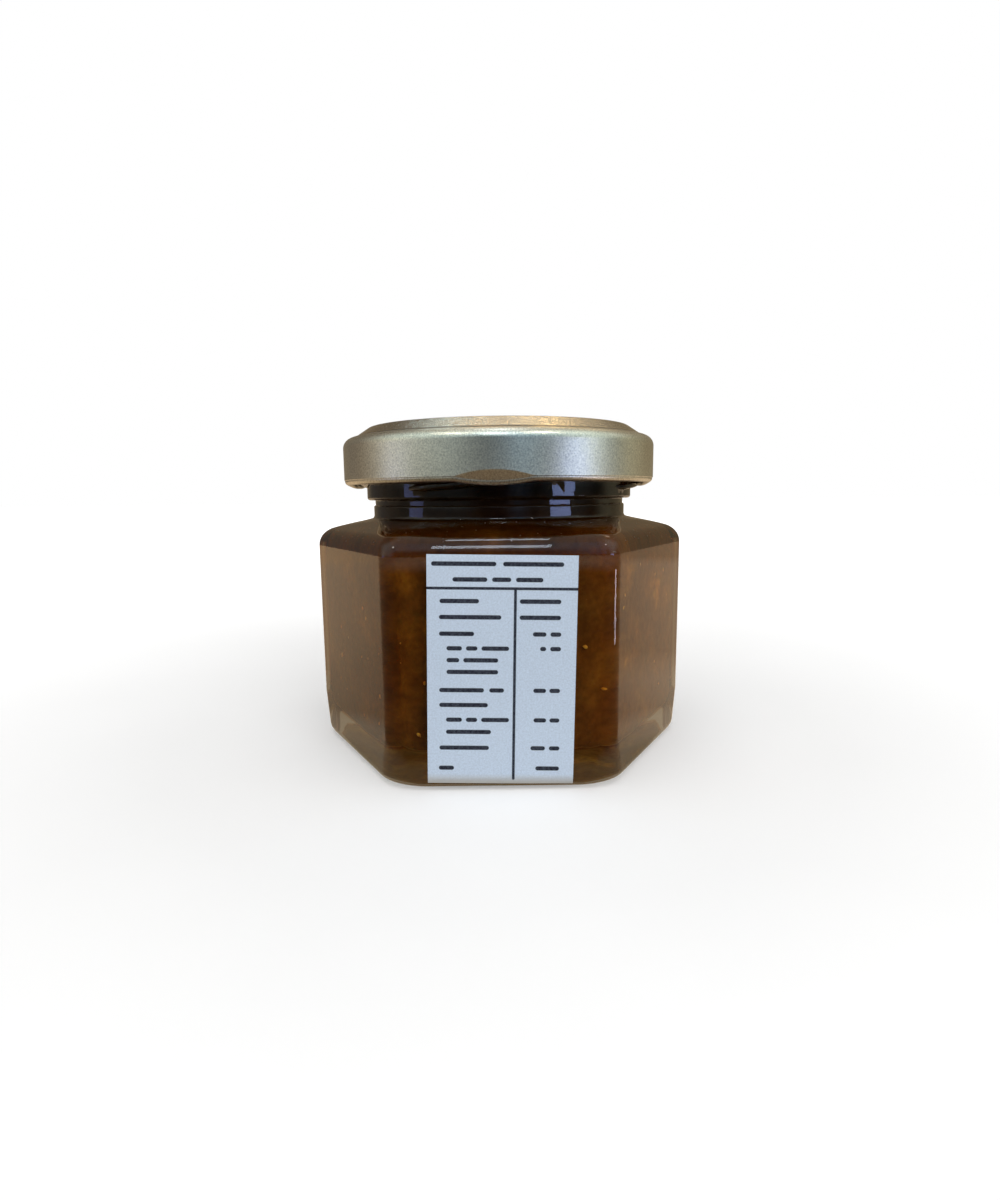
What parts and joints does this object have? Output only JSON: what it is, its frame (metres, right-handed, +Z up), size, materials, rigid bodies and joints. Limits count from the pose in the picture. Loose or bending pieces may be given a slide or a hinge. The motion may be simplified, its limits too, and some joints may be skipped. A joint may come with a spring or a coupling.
{
  "type": "jar of fig jam",
  "caption": "Small hexagonal glass jar filled with dark fig jam, closed with a pale gold twist-off metal lid with lugs, and a plain paper label with ruled lines on one face",
  "frame": {"origin": "centre of the base, on the surface the jar stands on", "axes": "+Z up along the jar's axis, -Y out of the labelled face, +X to the right when facing the label"},
  "size_m": [0.0674, 0.0593, 0.0565],
  "materials": {
    "glass": "clear moulded flint glass",
    "jam": "wet dark amber fruit jam with seeds",
    "lid": "satin pale gold lacquer on tinplate",
    "label": "smooth bluish white label paper"
  },
  "bodies": {
    "root": {"glass_jar": "glass", "jam": "jam", "lid": "lid", "label": "label"}
  },
  "joints": []
}
